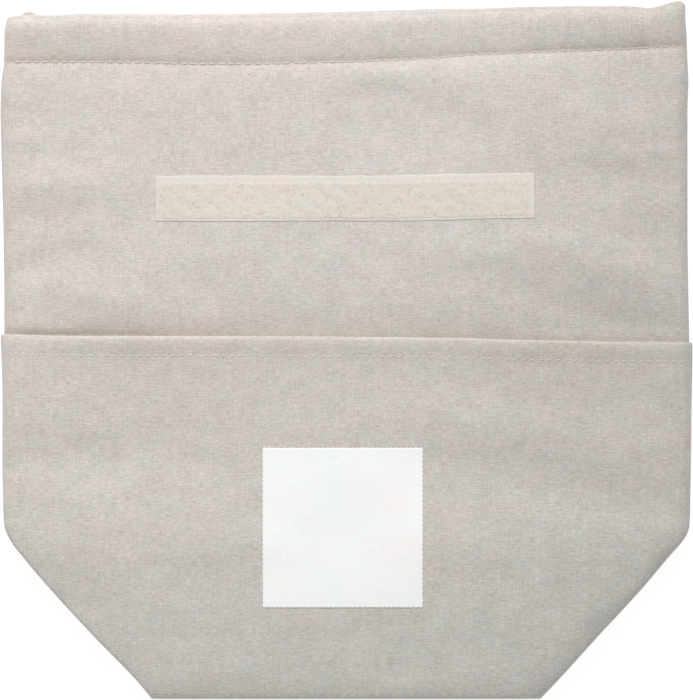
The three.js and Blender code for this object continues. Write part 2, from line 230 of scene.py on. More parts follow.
def settled(x, h, z, held, pressure):
    """How far each point of a panel rises as its cloth settles: a cloth simulation of twenty frames without
    gravity on a grid of points, cut a little oversize, pushed out by the padding and held where it is sewn."""
    start = np.stack([x, h, z], axis=-1).reshape(-1, 3) * MM
    mesh = bpy.data.meshes.new("settling")
    mesh.from_pydata(start.tolist(), [], quads(*x.shape).tolist())
    panel = bpy.data.objects.new("settling", mesh)
    bpy.context.scene.collection.objects.link(panel)
    panel.vertex_groups.new(name="held").add(np.flatnonzero(held).tolist(), 1.0, "REPLACE")
    cloth = panel.modifiers.new("settling", "CLOTH")
    cloth.collision_settings.use_collision = False
    drape = cloth.settings
    drape.vertex_group_mass = "held"
    drape.quality = 6
    drape.tension_stiffness = 40
    drape.compression_stiffness = 40
    drape.shear_stiffness = 13
    drape.bending_stiffness = 5
    drape.shrink_min = -OVERSIZE
    drape.use_pressure = True
    drape.uniform_pressure_force = pressure
    drape.effector_weights.gravity = 0
    for step in range(1, 21):
        bpy.context.scene.frame_set(step)
    moved = np.empty(start.size, np.float32)
    after = panel.evaluated_get(bpy.context.evaluated_depsgraph_get())
    after.data.vertices.foreach_get("co", moved)
    bpy.data.objects.remove(panel)
    bpy.data.meshes.remove(mesh)
    bpy.context.scene.frame_set(1)
    rise = (moved.reshape(-1, 3) - start)[:, 2].reshape(x.shape) / MM
    return SETTLE_CAP * np.tanh(rise / SETTLE_CAP)


def looked_up(field, across, up):
    """Value of an even grid of points at places between them: a cubic B-spline over four by four points."""
    ends = np.pad(field, 2, mode="edge")
    across = np.clip(across, 0, field.shape[1] - 1)
    up = np.clip(up, 0, field.shape[0] - 1)
    total = 0
    for r, row_share in enumerate(spline_shares(up % 1)):
        for c, column_share in enumerate(spline_shares(across % 1)):
            near = ends[up.astype(int) + 1 + r, across.astype(int) + 1 + c]
            total = total + row_share * column_share * near
    return total


def spline_shares(t):
    """Shares of the points before, at, after and two after a place that is t of a step past a point."""
    at = (3 * t ** 3 - 6 * t * t + 4) / 6
    after = (1 + 3 * t + 3 * t * t - 3 * t ** 3) / 6
    return (1 - t) ** 3 / 6, at, after, t ** 3 / 6


def grid_column(folds, x, h):
    """Column of the settling grid at a place, counted from the left fold."""
    left, right = curve(folds, h), curve(folds, h, 2)
    return (x - left) / (right - left) * (SETTLE_COLUMNS - 1)


def front(x, h):
    """Outer face of the padded front with the settling of its cloth between pocket and hem."""
    x, h = np.broadcast_arrays(np.asarray(x, float), np.asarray(h, float))
    leaning = STRAIGHT_TO + (h - STRAIGHT_TO) * (SEAM_ROW - STRAIGHT_TO) / (curve(HEM_SEAM, x) - STRAIGHT_TO)
    row = np.where(h <= STRAIGHT_TO, h, leaning)
    up = (row - SETTLE_ROWS[0]) / SETTLE_STEP
    return front_drawn(x, h) + looked_up(front_settled, grid_column(SIDE_FOLDS, x, h), up)


def back(x, h):
    """Outer face of the back wall: on the floor, but lifted where it lies on the folded base."""
    slope = (BASE_FOLDS[2, 2] - BASE_FOLDS[1, 2]) / (BASE_FOLDS[2, 0] - BASE_FOLDS[1, 0])
    half = BASE_FOLDS[1, 2] + slope * (h - BASE_FOLDS[1, 0])
    past = np.maximum(h - BASE_DEPTH, (np.abs(x) - half) / np.hypot(1, slope))
    uneven = 0.25 * (1 + np.tanh(ripples(x, h, 17, 80, 18)))
    groove = 0.9 * np.exp(-np.abs(h - curve(HEM_SEAM, x)) / 3)
    lifted = LIFT * (1 - ease(past, 10, 55)) - BACK_FOLD_STEP * (1 - ease(h, CORNER, CORNER + BACK_FOLD_RUN))
    return lifted + (uneven + groove) * ease(past, 30, 70)


def columns(fold_steps, face_steps):
    """Where each column stands: how many roundings in, what share of the face, how far it has turned up."""
    turn = np.linspace(0, np.pi / 2, fold_steps, endpoint=False)
    face = np.linspace(0, 1, face_steps + 1)
    rounds = np.concatenate([1 - np.cos(turn), np.ones_like(face), 1 + np.cos(turn[::-1])])
    share = np.concatenate([0 * turn, face, 0 * turn + 1])
    swell = np.concatenate([np.sin(turn), np.ones_like(face), np.sin(turn[::-1])])
    return rounds, share, swell


def mouth_lean(x, row):
    """Height of a row at one place across: level low on the bag, then leaning to follow hem and mouth."""
    seam = curve(HEM_SEAM, x)
    top = curve(MOUTH_EDGE, x) - LIP_ROUND
    chest = STRAIGHT_TO + (row - STRAIGHT_TO) / (SEAM_ROW - STRAIGHT_TO) * (seam - STRAIGHT_TO)
    hem = seam + (row - SEAM_ROW) / (MOUTH_ROW - SEAM_ROW) * (top - seam)
    return np.where(row <= STRAIGHT_TO, row, np.where(row <= SEAM_ROW, chest, hem))


def back_lean(x, row):
    """Height of a row of the back wall: as the front's, but its mouth edge shows a little along the left half
    and pokes up near the left end."""
    proud = BACK_PROUD * ease(x, *PROUD_FROM) * (1 - ease(x, *PROUD_TO))
    tuft = TUFT_RISE * np.exp(-((x - TUFT_X) / TUFT_WIDTH) ** 4)
    return mouth_lean(x, row) + (proud + tuft) * ease(row, SEAM_ROW + 8, MOUTH_ROW)


def layer(rows, across, folds, rounding, face, crease, opening=1.0, inset=0.0, lean=mouth_lean):
    """One layer of cloth from fold to fold: each row runs between the two folds, turning in by a quarter
    circle, and climbs from the crease at the outline to the face, by the row's share of opening."""
    rounds, share, swell = across
    row = np.asarray(rows, float)[:, None]
    left = curve(folds, lean(-SIDE_REACH, row)) + inset
    right = curve(folds, lean(SIDE_REACH, row), 2) - inset
    x = left + rounds * rounding + share * (right - left - 2 * rounding)
    h = lean(x, row) + 0 * x
    level = curve(crease, h)
    z = level + (face(x, h) - level) * swell * np.reshape(opening, (-1, 1))
    return np.stack([x, h, z], axis=-1)


def rolled(outer, inner, radius, steps=6):
    """Rows over an edge from an outer row to an inner one: half a turn, standing out by the radius."""
    turn = np.linspace(0, np.pi, steps + 1)[1:-1, None, None]
    rows = (outer + inner) / 2 + (outer - inner) / 2 * np.cos(turn)
    rows[..., 1] += radius * np.sin(turn[..., 0])
    return rows


def cloth_uv(points):
    """Where each point lies on the uncut cloth, in millimetres: across by length along its row from the
    middle, and up by length along the middle column, corrected by how far the row leans."""
    middle = points.shape[1] // 2
    steps = np.linalg.norm(np.diff(points, axis=1), axis=-1)
    across = np.concatenate([np.zeros((len(points), 1)), np.cumsum(steps, axis=1)], axis=1)
    climb = np.diff(points[:, middle], axis=0)
    up = np.concatenate([[0], np.cumsum(np.linalg.norm(climb, axis=-1))])
    way = np.sign(np.gradient(points[:, middle, 1]))
    lean = (points[..., 1] - points[:, middle:middle + 1, 1]) * way[:, None]
    return np.stack([across - across[:, middle:middle + 1], up[:, None] + lean], axis=-1)


def quads(rows, cols, start=0, flip=False):
    """Four-sided faces of a grid of points that are numbered row by row from start."""
    first = start + np.arange((rows - 1) * cols).reshape(rows - 1, cols)[:, :-1].ravel()
    faces = np.stack([first, first + 1, first + cols + 1, first + cols], axis=1)
    return faces[:, ::-1] if flip else faces


def new_piece(name, points, faces, materials, uv=None, finish=None):
    """Object from points in (x, h, z) millimetres and faces, smooth, with its cloth coordinates in metres."""
    mesh = bpy.data.meshes.new(name)
    mesh.from_pydata(((points.reshape(-1, 3) + PLACE) * MM).tolist(), [], [list(map(int, f)) for f in faces])
    for material in materials:
        mesh.materials.append(material)
    if uv is not None:
        corner = np.empty(len(mesh.loops), np.int32)
        mesh.loops.foreach_get("vertex_index", corner)
        cloth = mesh.uv_layers.new(name="cloth")
        cloth.data.foreach_set("uv", (uv.reshape(-1, 2)[corner] * MM).astype(np.float32).ravel())
    if finish is not None:
        mesh.polygons.foreach_set("material_index", finish.astype(np.int32))
    mesh.polygons.foreach_set("use_smooth", np.ones(len(mesh.polygons), bool))
    mesh.update()
    piece = bpy.data.objects.new(name, mesh)
    bpy.context.scene.collection.objects.link(piece)
    return piece


def weld(piece, distance=0.01):
    """Merges points of a mesh within a distance in millimetres, so that sheets sewn together are one."""
    joined = bmesh.new()
    joined.from_mesh(piece.data)
    bmesh.ops.remove_doubles(joined, verts=joined.verts, dist=distance * MM)
    joined.to_mesh(piece.data)
    joined.free()


def dyed(red, green, blue):
    """Linear colour of a dye that is given as it looks on screen, 0 to 255."""
    shown = np.array([red, green, blue]) / 255
    return (*np.where(shown <= 0.04045, shown / 12.92, ((shown + 0.055) / 1.055) ** 2.4).tolist(), 1.0)


def new_material(name):
    """Material that uses nodes, and its shader."""
    material = bpy.data.materials.new(name)
    material.use_nodes = True
    return material, material.node_tree.nodes["Principled BSDF"]


def fill(made, inputs):
    """Sets inputs of a shader node: each is a value, or an output of another node to link."""
    for key, value in inputs.items():
        if isinstance(value, bpy.types.NodeSocket):
            made.id_data.links.new(value, made.inputs[key])
        else:
            made.inputs[key].default_value = value


def node(tree, kind, inputs=None, **settings):
    """New shader node with its settings and inputs."""
    made = tree.nodes.new(kind)
    for key, value in settings.items():
        setattr(made, key, value)
    fill(made, inputs or {})
    return made


def math(tree, operation, *values):
    """Output of a math node on numbers or outputs of other nodes."""
    return node(tree, "ShaderNodeMath", dict(enumerate(values)), operation=operation).outputs[0]


def tinted(tree, colour, tint):
    """Colour multiplied by a tint."""
    return node(tree, "ShaderNodeMix", {0: 1.0, 6: colour, 7: tint}, data_type="RGBA",
                blend_type="MULTIPLY").outputs[2]


def woven_cotton():
    """Node group for unbleached plain weave. Tone is a sum of noises stretched along warp and weft, with
    slubs, pale neps and dark specks; height is a product of two sine waves with the same yarn noise on it;
    tint and haze are soft blotches."""
    tree = bpy.data.node_groups.new("woven_cotton", "ShaderNodeTree")
    tree.interface.new_socket("Cloth", in_out="INPUT", socket_type="NodeSocketVector")
    for output in ("Tone", "Height", "Tint", "Haze"):
        tree.interface.new_socket(output, in_out="OUTPUT", socket_type="NodeSocketFloat")
    cloth = node(tree, "NodeGroupInput").outputs["Cloth"]

    def stretched(kind, across, along, **settings):
        size = (1 / (across * MM), 1 / (along * MM), 1)
        place = node(tree, "ShaderNodeMapping", {"Vector": cloth, "Scale": size}).outputs["Vector"]
        return node(tree, kind, {"Vector": place, "Scale": 1.0}, **settings)

    def noise(across, along, detail=2.0):
        made = stretched("ShaderNodeTexNoise", across, along, noise_dimensions="2D")
        made.inputs["Detail"].default_value = detail
        return made.outputs[0]

    def ramp(value, low, high):
        span = {"Value": value, "From Min": low, "From Max": high}
        return node(tree, "ShaderNodeMapRange", span, interpolation_type="SMOOTHSTEP").outputs["Result"]

    def summed(total, value, weight):
        return math(tree, "MULTIPLY_ADD", value, weight, total)

    def speck(cell, radius):
        dots = stretched("ShaderNodeTexVoronoi", cell, cell, voronoi_dimensions="2D")
        return ramp(dots.outputs["Distance"], 1.4 * radius / cell, 0.6 * radius / cell)

    weft = noise(2.9, 0.54)
    warp = noise(0.5, 2.6)
    weft_run = noise(15.0, 0.5, 1.0)
    warp_run = noise(0.5, 18.0, 1.0)
    fuzz = noise(0.9, 0.8, 3.0)
    cloud = noise(11.0, 7.0, 1.0)
    slub = ramp(noise(5.0, 0.55, 1.0), 0.63, 0.74)
    apart = node(tree, "ShaderNodeSeparateXYZ", {"Vector": cloth})
    yarns = []
    for axis, pitch in (("X", 0.36), ("Y", 0.38)):
        angle = math(tree, "MULTIPLY", apart.outputs[axis], np.pi / (pitch * MM))
        yarns.append(math(tree, "SINE", angle))
    over = math(tree, "MULTIPLY", *yarns)

    weights = [(weft, 1.04), (warp, 0.7), (weft_run, 0.36), (warp_run, 0.36), (fuzz, 0.2), (cloud, 0.34)]
    tone = summed(0.5 - sum(weight for value, weight in weights) / 2, over, 0.08)
    for value, weight in weights + [(slub, 0.2), (speck(17, 0.34), 0.5), (speck(29, 0.3), -0.6)]:
        tone = summed(tone, value, weight)
    height = summed(0.0, over, 0.3)
    for value, weight in [(warp, 0.6), (weft, 0.8), (fuzz, 0.4), (slub, 0.3)]:
        height = summed(height, value, weight)
    tint = summed(-1.1, ramp(noise(48.0, 38.0, 3.0), 0.3, 0.7), 0.5)
    for size, weight in ((5.0, 1.4), (11.0, 1.6)):
        tint = summed(tint, noise(1.2 * size, 0.9 * size, 1.0), weight)
    haze = noise(7.5, 6.0, 1.0)
    node(tree, "NodeGroupOutput", {"Tone": tone, "Height": height, "Tint": tint, "Haze": haze})
    return tree


weave = woven_cotton()


def cloth_material(name, dark, light, relief=0.05, cool_way=COOL_WAY, cool_from=0.0, bounce_tinted=False):
    """Matt cloth: the weave's tone mixes a dark and a light dye, darkened towards the sides as painted shade
    for light that falls off there, tinted by place and with painted warm bounce light where the piece is
    creased;
    its height is a bump of that relief in millimetres."""
    material, shader = new_material(name)
    tree = material.node_tree
    place = node(tree, "ShaderNodeUVMap", uv_map="cloth").outputs["UV"]
    yarn = node(tree, "ShaderNodeGroup", {"Cloth": place}, node_tree=weave)
    at = node(tree, "ShaderNodeTexCoord").outputs["Object"]
    way = node(tree, "ShaderNodeVectorMath", {0: at, 1: cool_way}, operation="DOT_PRODUCT").outputs["Value"]
    way = math(tree, "ADD", way, cool_from)
    # Painted shade: the tone darkens by the square of the way across from SIDE_SHADE_FROM, for light that
    # falls off towards both sides.
    across = node(tree, "ShaderNodeSeparateXYZ", {0: at}).outputs["X"]
    side = math(tree, "SUBTRACT", across, SIDE_SHADE_FROM)
    far = math(tree, "MULTIPLY", side, side)
    tone = math(tree, "MULTIPLY_ADD", far, PAINTED_SIDE_SHADE, yarn.outputs["Tone"])
    cool = math(tree, "ADD", yarn.outputs["Tint"], way)
    haze = yarn.outputs["Haze"]
    # Painted warm bounce light: where the crease attribute is high, the cloth is tinted warmer and yellower
    # for light reflected between cloth faces in the shade of a crease.
    if bounce_tinted:
        crease = node(tree, "ShaderNodeAttribute", attribute_name="crease").outputs["Fac"]
        cool = math(tree, "MULTIPLY_ADD", crease, PAINTED_BOUNCE_WARM, cool)
        haze = math(tree, "MULTIPLY_ADD", crease, PAINTED_BOUNCE_YELLOW, haze)
    blend = node(tree, "ShaderNodeMix", {0: tone, 6: dyed(*dark), 7: dyed(*light)}, data_type="RGBA")
    hue = node(tree, "ShaderNodeMix", {0: cool, 6: WARM, 7: COOL}, data_type="RGBA", clamp_factor=False)
    veil = node(tree, "ShaderNodeMix", {0: haze, 6: YELLOW, 7: BLUE}, data_type="RGBA", clamp_factor=False)
    shade = tinted(tree, tinted(tree, blend.outputs[2], hue.outputs[2]), veil.outputs[2])
    raised = {"Height": yarn.outputs["Height"], "Distance": relief * MM, "Strength": 1.0}
    bump = node(tree, "ShaderNodeBump", raised)
    fill(shader, {"Base Color": shade, "Normal": bump.outputs["Normal"], "Roughness": 0.92,
                  "Specular IOR Level": 0.2, "Sheen Weight": 0.15, "Sheen Roughness": 0.6})
    return material


def lining_material():
    """Smooth pale lining film: a satin grey whose gloss varies softly with faint creases."""
    material, shader = new_material("lining")
    tree = material.node_tree
    place = node(tree, "ShaderNodeTexCoord").outputs["Object"]
    crease = node(tree, "ShaderNodeTexNoise", {"Vector": place, "Scale": 90.0, "Detail": 4.0}).outputs[0]
    gloss = node(tree, "ShaderNodeMapRange", {"Value": crease, "To Min": 0.32, "To Max": 0.55})
    bump = node(tree, "ShaderNodeBump", {"Height": crease, "Distance": 0.5 * MM, "Strength": 0.6})
    fill(shader, {"Base Color": dyed(206, 206, 204), "Roughness": gloss.outputs["Result"],
                  "Normal": bump.outputs["Normal"]})
    return material


def panel_grid(folds, rows):
    """Even grid of points on a panel: share of the way from fold to fold, row, and place across."""
    share, row = np.meshgrid(np.linspace(0, 1, SETTLE_COLUMNS), rows)
    left, right = curve(folds, row), curve(folds, row, 2)
    return share, row, left + share * (right - left)


cotton = cloth_material("padded_cotton", (164, 157, 152), (200, 193, 188), bounce_tinted=True)
chest_share, chest_row, chest_x = panel_grid(SIDE_FOLDS, SETTLE_ROWS)
chest_h = mouth_lean(chest_x, chest_row)
chest_z = front_drawn(chest_x, chest_h)
off_tape = np.maximum(np.abs(chest_x) - TAPE_HOLD_X, np.abs(chest_h - TAPE_HOLD_H) - TAPE_HOLD_HALF)
chest_held = (chest_share == 0) | (chest_share == 1) | (off_tape < 0)
chest_held |= (chest_row <= SETTLE_ROWS[0]) | (chest_row >= SETTLE_ROWS[-1])
front_settled = settled(chest_x, chest_h, chest_z, chest_held, FRONT_PUSH) * ease(off_tape, *TAPE_FADE)

turns = np.linspace(0, np.pi / 2, 6)
nose = BOTTOM_ROUND * (1 - np.cos(turns))
low_rows = np.concatenate([nose, np.linspace(BOTTOM_ROUND, CORNER, 24)[1:]])
low_opening = np.concatenate([np.sin(turns), np.ones(23)])
high_rows = np.concatenate([
    np.linspace(CORNER, 148, 28)[1:], np.linspace(148, STRAIGHT_TO, 84)[1:],
    np.linspace(STRAIGHT_TO, SEAM_ROW, 36)[1:], np.linspace(SEAM_ROW, MOUTH_ROW - 5, 18)[1:],
    np.linspace(MOUTH_ROW - 5, MOUTH_ROW, 12)[1:],
])
base_end = BASE_DEPTH - LAID_WALLS / 2 * (1 - np.cos(turns[::-1]))
base_rows = np.concatenate([np.linspace(CORNER, base_end[0], 18)[1:-1], base_end])
base_opening = np.concatenate([np.ones(16), np.sin(turns[::-1])])
inner_rows = np.concatenate([
    np.linspace(MOUTH_ROW, SEAM_ROW, HEM_INSIDE_ROWS), np.linspace(SEAM_ROW, 70, 22)[1:],
    [67, 65, 63, 61, 48, 34, 20, 9, 5.5, 4.5],
])
inner_opening = np.concatenate([np.ones(len(inner_rows) - 2), [0.7, 0.0]])

face_columns, back_columns = columns(8, 190), columns(8, 124)
inside = dict(
    folds=SIDE_FOLDS, rounding=SIDE_ROUND - WALL, crease=SIDE_CREASE, opening=inner_opening, inset=WALL + 0.8)


def front_lining(x, h):
    """Inner face of the front: one wall below its outer face."""
    return front(x, h) - WALL


def on_floor(x, h):
    """Outer face of the folded base: flat on the floor."""
    return 0 * x


def under_back(x, h):
    """Strip of back wall that is folded down on the base: level, and a little higher at the fold."""
    return LAID_WALLS + BACK_FOLD_STEP * (1 - ease(h, CORNER, CORNER + BACK_FOLD_RUN)) + 0 * x


def inside_back(x, h):
    """Inner face of the back wall, and below its fold that of the base: one wall above the outer face."""
    return back(x, h) * ease(h, *INNER_FOLD) + WALL


front_rows = np.concatenate([low_rows, high_rows])
front_opening = np.concatenate([low_opening, np.ones(len(high_rows))])
front_outer = layer(front_rows, face_columns, SIDE_FOLDS, SIDE_ROUND, front, SIDE_CREASE, front_opening)
front_inner = layer(inner_rows, face_columns, face=front_lining, **inside)
front_wall = np.concatenate([front_outer, rolled(front_outer[-1], front_inner[0], LIP_ROUND), front_inner])

base_outer = layer(low_rows, back_columns, SIDE_FOLDS, SIDE_ROUND, on_floor, SIDE_CREASE, low_opening)
base_flap = layer(base_rows, back_columns, BASE_FOLDS, LAID_WALLS / 2, on_floor, BASE_CREASE, base_opening)
base_return = layer(base_rows[-2::-1], back_columns, BASE_FOLDS, LAID_WALLS / 2, under_back, BASE_CREASE,
                    base_opening[-2::-1])
back_fold = layer([CORNER], back_columns, SIDE_FOLDS, LAID_WALLS / 2, under_back, SIDE_CREASE)
back_outer = layer(high_rows, back_columns, SIDE_FOLDS, SIDE_ROUND, back, SIDE_CREASE, lean=back_lean)
back_inner = layer(inner_rows, back_columns, face=inside_back, lean=back_lean, **inside)
back_wall = np.concatenate([
    base_outer, base_flap, base_return, back_fold, back_outer,
    rolled(back_outer[-1], back_inner[0], LIP_ROUND), back_inner,
])

body_points, body_uv, body_faces, body_finish = [], [], [], []
start = 0
for wall, flip in ((front_wall, False), (back_wall, True)):
    faces = quads(*wall.shape[:2], start, flip)
    lining_from = len(wall) - len(inner_rows) + HEM_INSIDE_ROWS
    lined = np.repeat(np.arange(len(wall) - 1) >= lining_from, wall.shape[1] - 1)
    body_points.append(wall.reshape(-1, 3))
    body_uv.append(cloth_uv(wall).reshape(-1, 2))
    body_faces.append(faces)
    body_finish.append(lined)
    start += wall.shape[0] * wall.shape[1]
body = new_piece("padded_body", np.concatenate(body_points), np.concatenate(body_faces),
                 [cotton, lining_material()], np.concatenate(body_uv), np.concatenate(body_finish))
outer_x, outer_h = front_outer[..., 0], front_outer[..., 1]
# Painted warm bounce light: the crease attribute marks the shade just above the pocket's top edge and along
# the hem's seam, where the cloth is drawn warmer.
above_pocket = np.exp(-np.abs(outer_h - curve(POCKET_EDGE, outer_x)) / PAINTED_BOUNCE_RUN)
beside_seam = np.exp(-np.abs(outer_h - curve(HEM_SEAM, outer_x)) / SEAM_BOUNCE_RUN)
painted_bounce = np.zeros(start, np.float32)
painted_bounce[:above_pocket.size] = (above_pocket + SEAM_BOUNCE_SHARE * beside_seam).ravel()
body.data.attributes.new("crease", "FLOAT", "POINT").data.foreach_set("value", painted_bounce)
weld(body)
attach(body, "root")
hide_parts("body")

# Hem stitching
# One row of lockstitch in natural cotton thread holds the turned hem, front and back, sunk in the padding.
STITCH_PITCH, STITCH_LENGTH, THREAD = 4.0, 3.3, 0.5


def tube_walls(rings, sides):
    """Side faces of a tube whose rings of points are numbered one after the other."""
    corner = np.arange(sides)
    after = (corner + 1) % sides
    wall = np.stack([corner, corner + sides, after + sides, after], axis=1)
    return np.concatenate([wall + sides * ring for ring in range(rings - 1)])


def stitch_row(name, path, pitch, length, thread, face, materials,
               rise=0.1, seed=1, flip=1, slant=0.0, roundness=0.8):
    """A row of stitches along a path: at even steps of its length, a short thread that arches over the cloth
    and dives in at both ends, where the second material shows; a darker one there is painted shade of the
    needle holes. Each is a tube of five rings."""
    rng = np.random.default_rng(seed)
    steps = np.linalg.norm(np.diff(path, axis=0), axis=1)
    way = np.concatenate([[0], np.cumsum(steps)])
    at = np.arange(pitch / 2, way[-1], pitch)
    at = at + rng.normal(0, 0.06 * pitch, len(at))
    centre = np.stack([np.interp(at, way, path[:, k]) for k in (0, 1)], axis=1)
    ahead = np.stack([np.interp(at + 0.5, way, path[:, k]) for k in (0, 1)], axis=1)
    heading = np.arctan2(*(ahead - centre).T[::-1]) + slant + rng.normal(0, 0.06, len(at))
    t = np.array([-1, -0.8, 0, 0.8, 1])
    girth = thread * np.array([0.5, 0.9, 1.05, 0.9, 0.5])
    around = np.linspace(0, 2 * np.pi, 6, endpoint=False)
    reach = length / 2 * rng.normal(1, 0.09, len(at))
    along = t[None, :] * reach[:, None]
    x = centre[:, 0, None] + along * np.cos(heading)[:, None]
    h = centre[:, 1, None] + along * np.sin(heading)[:, None]
    z = face(x, h) + flip * (rise - (rise + 0.5) * np.abs(t) ** 6)
    side = np.stack([-np.sin(heading), np.cos(heading)], axis=1)
    ring = girth[None, :, None] * np.cos(around)
    tube = np.stack([
        x[..., None] + ring * side[:, 0, None, None],
        h[..., None] + ring * side[:, 1, None, None],
        z[..., None] + girth[None, :, None] * np.sin(around) * roundness + 0 * ring,
    ], axis=-1)
    size = t.size * around.size
    walls = tube_walls(t.size, around.size)
    ring_at = np.arange(around.size)
    caps = np.stack([ring_at, size - 1 - ring_at])
    shift = np.arange(len(at))[:, None, None] * size
    faces = [*(walls + shift).reshape(-1, 4), *(caps + shift).reshape(-1, around.size)]
    uv = np.broadcast_to((along[..., None] * np.array([1.0, 0.2]))[:, :, None, :], (*tube.shape[:3], 2))
    # Faces at both ends of each stitch, which take the second material, the painted shade of the needle holes.
    dive_shade = np.repeat([1, 0, 0, 1], around.size)
    finish = np.concatenate([np.tile(dive_shade, len(at)), np.ones(2 * len(at), int)])
    made = new_piece(name, tube, faces, materials, np.ascontiguousarray(uv), finish)
    outward = bmesh.new()
    outward.from_mesh(made.data)
    bmesh.ops.recalc_face_normals(outward, faces=outward.faces)
    outward.to_mesh(made.data)
    outward.free()
    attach(made, "root")
    return made


def line_across(table, start, stop, rise=0.0):
    """Points along a line that runs across the bag at the height of a table."""
    x = np.linspace(start, stop, 400)
    return np.stack([x, curve(table, x) + rise], axis=1)


thread_cotton = cloth_material("thread_cotton", (164, 156, 146), (198, 190, 179))
# Painted shade: the stitch ends are drawn in this dark colour for the shade of the needle holes where the
# thread dives in.
needle_hole_shade = cloth_material("needle_hole_shade", (104, 96, 88), (140, 131, 122))
seam_line = line_across(HEM_SEAM, -144, 143.5)
hem_stitches = stitch_row("hem_stitches", seam_line, STITCH_PITCH, STITCH_LENGTH, THREAD, front,
                          [thread_cotton, needle_hole_shade], 0.14, roundness=0.75)
back_stitches = stitch_row("back_hem_stitches", seam_line, STITCH_PITCH, STITCH_LENGTH, THREAD, back,
                           [thread_cotton, needle_hole_shade], seed=2, flip=-1)

# Front pocket
# One layer of the same cotton laid over the lower front, its top edge turned in and sewn as a narrow hem.
# Its sides and bottom wrap round the folds and are caught there, and the panel stands off the front between.
POCKET_CLOTH = 0.7
POCKET_STAND = 1.6  # cloth and air between the padded front and the outer face of the pocket
POCKET_SLACK = 5.5
POCKET_BOTTOM = -1.7
POCKET_BOTTOM_ROUND = 1.2
POCKET_ROUND, SLANT_ROUND = 3.8, 1.5  # at the upright and at the slanted folds
# How far the edges of the pocket droop, over what run
LEFT_DROOP, RIGHT_DROOP, BOTTOM_DROOP = (0.3, 2.5), (5.0, 5.2), (1.0, 2.2)
LEFT_SLANT_DROOP, RIGHT_SLANT_DROOP = (0.9, 2.0), (3.0, 2.4)
# Columns: x, how far the top edge stands out
POCKET_GAPE = np.array([(-150, 4.6), (-60, 3.8), (40, 3.0), (90, 6.4), (150, 6.4)])
GAPE_FROM, GAPE_RUN, GAPE_CURVE = 120.0, 34.0, 1.6  # from what height, over what run, and how it curves
SLACK_CURVE = 0.85
SLANT_SHARE = 0.7  # way to a slanted fold for each millimetre across
HEM_DEPTH, HEM_THICK, HEM_FOLD = 9.0, 0.42, 1.0
STITCH_DOWN, SEWN_DIP, SEWN_RUN = 8.4, 0.05, 0.9  # how far below the edge the hem is sewn, and its groove
EDGE_ROUND, EDGE_RUN = 0.9, 1.4
POCKET_STRAIGHT, POCKET_ROW = 118.0, 155.0
# Columns: height, left edge, right edge
POCKET_SIDES = np.array([
    (-1.7, -84.4, 84.1), (5, -89.8, 90.5), (25.8, -109.7, 109.3), (46.6, -128.8, 128.4),
    (60.4, -140.5, 140.0), (67.3, -145.7, 146.0), (70.8, -147.4, 147.9), (74.3, -148.3, 148.6),
    (84.7, -148.8, 148.9), (106, -149.1, 149.3), (128, -149.1, 149.6), (147, -149.6, 150.0),
    (156, -150.0, 150.0),
])
# Columns: height, level of the pocket's edge where it wraps round the folds
POCKET_CREASE = np.array([
    (0, 4.9), (20, 6.2), (40, 6.9), (67, 7.0), (76, 8.5), (95, 8.0), (110, 7.3), (130, 6.3), (156, 5.6),
])
# Columns: x, height, turn in degrees, length, width, rise
POCKET_SWELLS = [
    (-117, 101, 5, 45, 13, -2.0), (-143, 80, 0, 12, 16, -1.2), (-115, 60, 0, 14, 8, 0.6),
    (-50, 66, -5, 24, 11, 1.0), (70, 118, -5, 45, 11, 1.0), (85, 92, -12, 55, 12, -1.9),
    (45, 65, -10, 25, 12, 1.1), (0, 122, 0, 45, 14, 0.7), (42, 88, 0, 10, 8, -0.6),
    (0, 68, 0, 40, 24, -1.2), (20, 21, -5, 45, 13, -1.0), (-70, 4, 0, 25, 9, 0.8),
    (55, 2, 0, 20, 8, 0.5),
]


def pocket_drawn(x, h):
    """Outer face of the pocket: the smooth front below it, its own slack that grows from the bottom edge and
    fades to the folds, its dents, the droop of its edges and the step of its turned hem."""
    gape = curve(POCKET_GAPE, x) * np.clip((h - GAPE_FROM) / GAPE_RUN, 0, 1) ** GAPE_CURVE
    slack = POCKET_SLACK * np.clip(h / POCKET_ROW, 0, 1) ** SLACK_CURVE + gape
    room = slack * (1 - spread(x, h) ** 4) + swells(POCKET_SWELLS, x, h)
    room = room + START_UNEVEN * ripples(x, h, 23, 60, 12)
    upright = ease(h, CORNER - 12, CORNER + 12)
    from_left = np.maximum(x - curve(POCKET_SIDES, h), 0)
    from_right = np.maximum(curve(POCKET_SIDES, h, 2) - x, 0)
    for (deep, run), far, share in (
            (LEFT_DROOP, from_left, upright), (LEFT_SLANT_DROOP, SLANT_SHARE * from_left, 1 - upright),
            (RIGHT_DROOP, from_right, upright), (RIGHT_SLANT_DROOP, SLANT_SHARE * from_right, 1 - upright),
            (BOTTOM_DROOP, np.maximum(h - POCKET_BOTTOM, 0), 1)):
        room = room - deep * share * np.exp(-far / run)
    down = curve(POCKET_EDGE, x) - h
    turned = HEM_THICK * (1 - ease(down, 3, HEM_DEPTH + 2))
    sewn = SEWN_DIP * np.exp(-np.abs(down - STITCH_DOWN) / SEWN_RUN)
    rounded = EDGE_ROUND * np.exp(-np.maximum(down, 0) / EDGE_RUN)
    return padding(x, h) + POCKET_STAND + room + turned - sewn - rounded


def pocket_face(x, h):
    """Outer face of the pocket with the settling of its cloth."""
    x, h = np.broadcast_arrays(np.asarray(x, float), np.asarray(h, float))
    up = (h - POCKET_SETTLE_ROWS[0]) / SETTLE_STEP
    return pocket_drawn(x, h) + looked_up(pocket_settled, grid_column(POCKET_SIDES, x, h), up)


